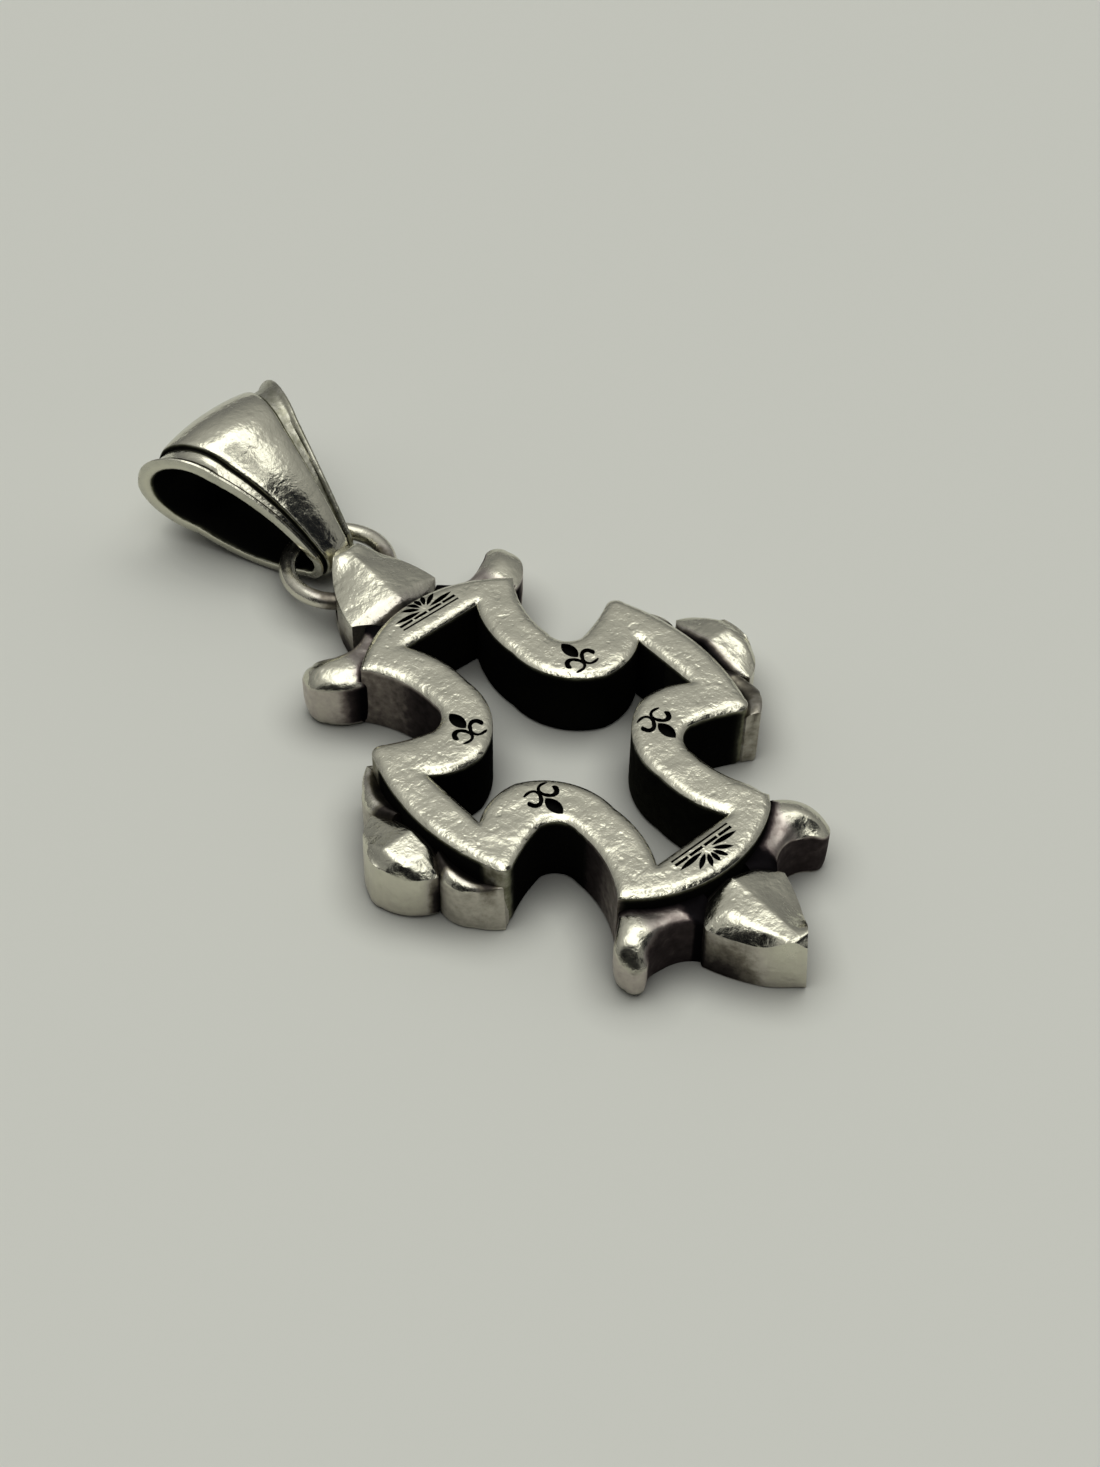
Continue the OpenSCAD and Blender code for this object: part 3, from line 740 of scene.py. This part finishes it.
def lobe_point(column, row, wider=0.0, longer=0.0, higher=0.0, flush=0.0):
    (ax, ay), (bx, by) = lobe_in[column], lobe_out[column]
    u = column / (len(lobe_out) - 1)
    bx, by = bx + wider * ease(0.0, 0.6, u), by + longer * u
    wide = max(math.hypot(bx - ax, by - ay), 0.001)
    rise = higher * ease(0.3, 0.9, u)
    ridge = mix(4.85, 4.1, ease(0.0, 1.1, u)) + rise
    edge = mix(3.95, 4.05, u) + rise
    inner = mix(3.3, 4.05, ease(0.6, 1.0, u)) + rise
    n = len(lobe_foot)
    row %= LOBE_ROWS
    if row < n:
        inward, z = lobe_foot[row]
        t = min(inward / wide, 0.5)
        z = min(z, inner)
    elif row >= n + len(lobe_over):
        inward, z = lobe_foot[LOBE_ROWS - 1 - row]
        t = 1 - min(inward / wide, 0.5)
        z = min(z, edge)
    elif lobe_over[row - n] < LOBE_PEAK:
        t = lobe_over[row - n]
        s = 1 - t / LOBE_PEAK
        z = ridge - (ridge - inner) * (math.sqrt(s * s + 0.02) - math.sqrt(0.02)) / (
            math.sqrt(1.02) - math.sqrt(0.02))
    else:
        t = lobe_over[row - n]
        s = (t - LOBE_PEAK) / (1 - LOBE_PEAK)
        z = ridge - (ridge - edge) * (0.25 * s * s + 0.75 * s ** 3.4)
    lean = flush * ease(0.55, 1.0, u) * z / edge
    return mix(ax, bx, t) - 0.4 * lean, mix(ay, by, t) - lean, z


# near the foot the left one leans in, flush with the frame's corner, and the right one
# stands out and rises
lobe_shapes = {(1, 1): {}, (-1, 1): {}, (-1, -1): dict(longer=0.15, flush=0.55),
               (1, -1): dict(wider=0.4, longer=0.3, higher=1.2)}
bm = bmesh.new()
for (across, along), shape in lobe_shapes.items():
    made = sheet(bm, len(lobe_out) - 1, LOBE_ROWS,
                 lambda column, row: lobe_point(column, row, **shape))
    bmesh.ops.scale(bm, verts=made, vec=(across, along, 1))
close_up(bm)
lobes = finish_piece("lobes", bm, [petal_silver])


def lobe_patina(at, normal):
    """Painted shade toward the frame and where the lobe meets the petal, or dark all over at the
    foot's right
    """
    x, y = abs(at.x), abs(at.y)
    # painted shade where the lobe meets the petal and toward the frame
    crease_shade = 0.8 * ease(4.3, 3.3, y)
    if at.x > 0 > at.y:
        return max(crease_shade, 0.5 * ease(7.4, 6.0, y), 0.34), 0.5
    shade_to_frame = ease(1.5, 0.4, x - (SHORT_HALF - 0.03 * y * y)) * ease(7.4, 6.4, y)
    if at.x < 0 < at.y:
        shade_to_frame *= 0.7
    return max(0.85 * shade_to_frame, crease_shade, 0.24 * upright(normal)), 0.5


patina(lobes, lobe_patina)
belongs(lobes, "cross")

# Jump ring. A closed ring of round drawn silver wire, which turns in the head petal's
# passage and holds the bail. It is polished by wear, and brown where it enters the petal.
bm = round_ring(WIRE_R, 128)
close_up(bm)
wire_silver = silver_finish("wire_silver", dents=0.3, grain=0.4, wave=0.5, rough=0.2)
wire_ring = finish_piece("wire_ring", bm, [wire_silver])


def ring_patina(at, normal):
    near_petal = ease(4.3, 3.2, abs(at.x)) * ease(26.4, 25.4, at.y)
    low = ease(2.4, 2.0, at.z)
    return max(0.08, 0.5 * near_petal, 0.35 * low), 0.6


patina(wire_ring, ring_patina, cast=False)
belongs(wire_ring, "jump_ring")

# Bail. One strap of thick sheet bent to a closed drop, with its edges rolled to a lip.
# A second, domed band is soldered along its middle. The steps beside it and the
# hollow are black with sulphur, and the band is worn bright and wrinkled.
BAIL_TIP = (0.5, 27.7, 2.17)
BAIL_LEN = 15.1
WIDE_R = 4.05
TIP_R = 1.4
WIDE_HALF = 6.9
MIDDLE_HALF = 3.825
TIP_HALF = 1.95
STRAP_WIDE = 0.85
STRAP_TIP = 0.5
BAND_PART = 0.655
BAND_RAISE = 0.4
BAIL_TURN = math.radians(9.0)
BAIL_SLOPE = math.radians(20.4)


def drop(tip_r, wide_r):
    """Side profile of the strap, along and up, from its tip over the top and back"""
    tip_mid, wide_mid = TIP_R, BAIL_LEN - WIDE_R
    lean = math.asin((wide_r - tip_r) / (wide_mid - tip_mid))
    tip = (tip_mid - tip_r * math.sin(lean), tip_r * math.cos(lean))
    end = (wide_mid - wide_r * math.sin(lean), wide_r * math.cos(lean))
    half = ((tip[0] + end[0]) / 2, (tip[1] + end[1]) / 2)
    top = (half[0] - 0.5 * math.sin(lean), half[1] + 0.5 * math.cos(lean))
    low = (half[0] - 1.2 * math.sin(lean), half[1] + 1.2 * math.cos(lean))
    r = math.sqrt(0.5)
    return trace((tip_mid - tip_r, 0), [
        ((tip_mid - tip_r * r, tip_r * r), tip, 8),
        (top, end, 22),
        ((wide_mid + wide_r * r, wide_r * r), (wide_mid + wide_r, 0), 16),
        ((wide_mid + wide_r * r, -wide_r * r), (end[0], -end[1]), 16),
        ((low[0], -low[1]), (tip[0], -tip[1]), 22),
        ((tip_mid - tip_r * r, -tip_r * r), (tip_mid - tip_r, 0), 8)])


outer_drop = drop(TIP_R, WIDE_R)
hollow_drop = drop(TIP_R - STRAP_TIP, WIDE_R - STRAP_WIDE)
edge_arc = arc((TIP_HALF, 0), (MIDDLE_HALF, BAIL_LEN / 2), (WIDE_HALF, BAIL_LEN), 60)


def half_width(along):
    """Half the strap's width at a place along the bail"""
    if along <= 0:
        return TIP_HALF
    for (ax, ay), (bx, by) in zip([(TIP_HALF, 0)] + edge_arc[:-1], edge_arc):
        if ay <= along <= by:
            return mix(ax, bx, (along - ay) / (by - ay))
    return WIDE_HALF


# across half the strap, over the band and the strap beside it, then round the lip and
# back underneath: part of the half width, margin in from the edge in millimetres,
# height above the strap, how much of the band's crown, and depth into the strap
half_section = [
    (0, 0, BAND_RAISE, 1, 0), (0.14, 0, BAND_RAISE, 0.96, 0), (0.27, 0, BAND_RAISE, 0.84, 0),
    (0.39, 0, BAND_RAISE, 0.66, 0), (0.49, 0, BAND_RAISE, 0.46, 0), (0.57, 0, BAND_RAISE, 0.26, 0),
    (0.62, 0, BAND_RAISE - 0.01, 0.1, 0), (0.645, 0, BAND_RAISE - 0.06, 0, 0),
    (BAND_PART, 0, BAND_RAISE - 0.2, 0, 0), (BAND_PART + 0.002, 0, 0.05, 0, 0),
    (0.675, 0, 0, 0, 0), (0.71, 0, -0.01, 0, 0), (0.78, 0, -0.03, 0, 0), (0.86, 0, -0.02, 0, 0),
    (1, 0.52, 0.1, 0, 0), (1, 0.42, 0.22, 0, 0), (1, 0.26, 0.3, 0, 0), (1, 0.1, 0.26, 0, 0),
    (1, 0.02, 0.12, 0, 0), (1, 0, -0.1, 0, 0), (1, 0, 0, 0, 0.55), (1, 0.04, 0, 0, 0.8),
    (1, 0.14, 0, 0, 0.96), (1, 0.4, 0, 0, 1), (0.7, 0, 0, 0, 1), (0.35, 0, 0, 0, 1)]
strap_section = [(1, *entry) for entry in half_section] + [(1, 0, 0, 0, 0, 1)]
strap_section += [(-1, *entry) for entry in reversed(half_section)]


def bail_point(column, row):
    n = len(outer_drop) - 1
    along, up = outer_drop[column % n]
    (ax, ay), (bx, by) = outer_drop[(column - 1) % n], outer_drop[(column + 1) % n]
    out_y, out_z = -(by - ay), bx - ax
    size = math.hypot(out_y, out_z)
    out_y, out_z = out_y / size, out_z / size
    inner = hollow_drop[column % n]
    side, part, margin, raised, crown, depth = strap_section[row]
    if up > -1:
        crown *= mix(0.24, 0.5, ease(3.0, 11.5, along))
    else:
        crown *= mix(0.14, 0.5, ease(8, 12.5, along))
    y = mix(along, inner[0], depth) + out_y * (raised + crown)
    z = mix(up, inner[1], depth) + out_z * (raised + crown)
    x = side * (half_width(y) * part - margin)
    # its low side rests on the table
    rest = (0.02 - BAIL_TIP[2]) / math.cos(BAIL_SLOPE) - y * math.tan(BAIL_SLOPE)
    return x, y, max(z, rest)


bm = bmesh.new()
sheet(bm, len(outer_drop) - 1, len(strap_section) - 1, bail_point)
close_up(bm)
for angle, axis in ((BAIL_SLOPE, "X"), (BAIL_TURN, "Z")):
    bmesh.ops.rotate(bm, verts=bm.verts, cent=(0, 0, 0), matrix=Matrix.Rotation(angle, 3, axis))
bmesh.ops.translate(bm, verts=bm.verts, vec=BAIL_TIP)
strap_silver = silver_finish("strap_silver", dents=0.2, grain=1.0, wave=0.7, rough=0.17)
bail_strap = finish_piece("bail_strap", bm, [strap_silver])
unturn = Matrix.Rotation(-BAIL_SLOPE, 3, "X") @ Matrix.Rotation(-BAIL_TURN, 3, "Z")


def bail_patina(at, normal):
    """Black in the hollow and in the step beside the band, and smoky toward the lips"""
    local = unturn @ (at - Vector(BAIL_TIP))
    half = half_width(local.y)
    if nearest(local.y, local.z, hollow_drop) < nearest(local.y, local.z, outer_drop):
        return ease(half - 0.02, half - 0.22, abs(local.x)), 0.0
    part = abs(local.x) / half
    step = 0.95 * ease(0.032, 0.01, abs(part - 0.664))
    side = 0.3 * ease(0.67, 0.7, part) if local.x > 0 else 0.0
    brim = 0.2 * ease(0.3, 0.1, half - abs(local.x))
    return max(step, side, brim), 0.0


patina(bail_strap, bail_patina, cast=False)
belongs(bail_strap, "bail")

# Camera. It looks at the pendant from above its foot's left, as the photo does, and its
# focal length in pixels is the one that makes the cross's corners square.
PHOTO_TALL = 1467
FOCAL_PIXELS = 2200
SENSOR = 36.0
eye = bpy.data.cameras.new("camera")
eye.sensor_fit = "AUTO"
eye.sensor_width = SENSOR
eye.lens = FOCAL_PIXELS / PHOTO_TALL * SENSOR
eye.clip_start = 0.01
eye.dof.use_dof = False
camera = bpy.data.objects.new("camera", eye)
camera.location = (-0.071485, -0.086839, 0.12393)
camera.rotation_euler = [math.radians(angle) for angle in (41.658, -0.733, -41.344)]
bpy.context.scene.collection.objects.link(camera)
bpy.context.scene.camera = camera

# Table and light. A matte pale board lies under one broad soft light. The far walls of
# the room are grey, and two dark gaps in them show as dark streaks in the silver.
TABLE_HALF = 0.9
TABLE_Z = -0.03 * MM
bm = bmesh.new()
bmesh.ops.create_grid(bm, x_segments=1, y_segments=1, size=TABLE_HALF)
bmesh.ops.translate(bm, verts=bm.verts, vec=(0, 0, TABLE_Z))
board = bpy.data.meshes.new("table")
bm.to_mesh(board)
bm.free()
board_mat = bpy.data.materials.new("table_board")
board_mat.use_nodes = True
tree = board_mat.node_tree
paint = tree.nodes["Principled BSDF"]
paint.inputs["Roughness"].default_value = 0.85
# a little more shade where the board meets the silver
shade = add_node(tree, "ShaderNodeAmbientOcclusion", {"Distance": 3.6 * MM}).outputs["AO"]
feed(tree, paint.inputs["Base Color"],
     colour_ramp(tree, shade, [(0.35, (0.24, 0.24, 0.225)), (1.0, (0.725, 0.735, 0.68))]))
board.materials.append(board_mat)
table = bpy.data.objects.new("table", board)
bpy.context.scene.collection.objects.link(table)

sky = bpy.data.worlds.new("soft_room")
sky.use_nodes = True
tree = sky.node_tree
tree.nodes.clear()
toward = tree.nodes.new("ShaderNodeTexCoord").outputs["Generated"]


def glow(direction, inner, outer):
    """1 within the inner angle of a direction, 0 past the outer one, in degrees"""
    dot = add_node(tree, "ShaderNodeVectorMath", {0: toward, 1: Vector(direction).normalized()},
                   operation="DOT_PRODUCT").outputs["Value"]
    fade_from, full_from = (math.cos(math.radians(angle)) for angle in (outer, inner))
    return add_node(tree, "ShaderNodeMapRange",
                    {"Value": dot, "From Min": fade_from, "From Max": full_from},
                    interpolation_type="SMOOTHSTEP").outputs["Result"]


# greys by height above the table, then the lamp, the gaps and a dim spot in the lamp,
# each with its direction, the angles that it fades between, and its colour
up = add_node(tree, "ShaderNodeSeparateXYZ", {"Vector": toward}).outputs["Z"]
room = colour_ramp(tree, up, [
    (0.0, (0.20, 0.20, 0.20)), (0.2, (0.23, 0.23, 0.23)), (0.5, (0.36, 0.36, 0.35)),
    (0.74, (0.55, 0.55, 0.535)), (1.0, (0.62, 0.62, 0.61))])
glows = [((-0.74, -0.53, 0.42), 27, 42, (0.005, 0.005, 0.006)),
         ((0.03, -0.1, 0.99), 25, 38, (2.2, 2.2, 2.12)),
         ((0.32, -0.69, 0.64), 17, 28, (0.005, 0.006, 0.009)),
         ((0.2, -0.2, 0.96), 6, 13, (0.45, 0.45, 0.44))]
for direction, inner, outer, colour in glows:
    room = blend(tree, glow(direction, inner, outer), room, (*colour, 1))
shine = add_node(tree, "ShaderNodeBackground", {"Color": room, "Strength": 1.0})
add_node(tree, "ShaderNodeOutputWorld", {"Surface": shine.outputs["Background"]})
bpy.context.scene.world = sky
bpy.context.scene.view_settings.view_transform = "Standard"
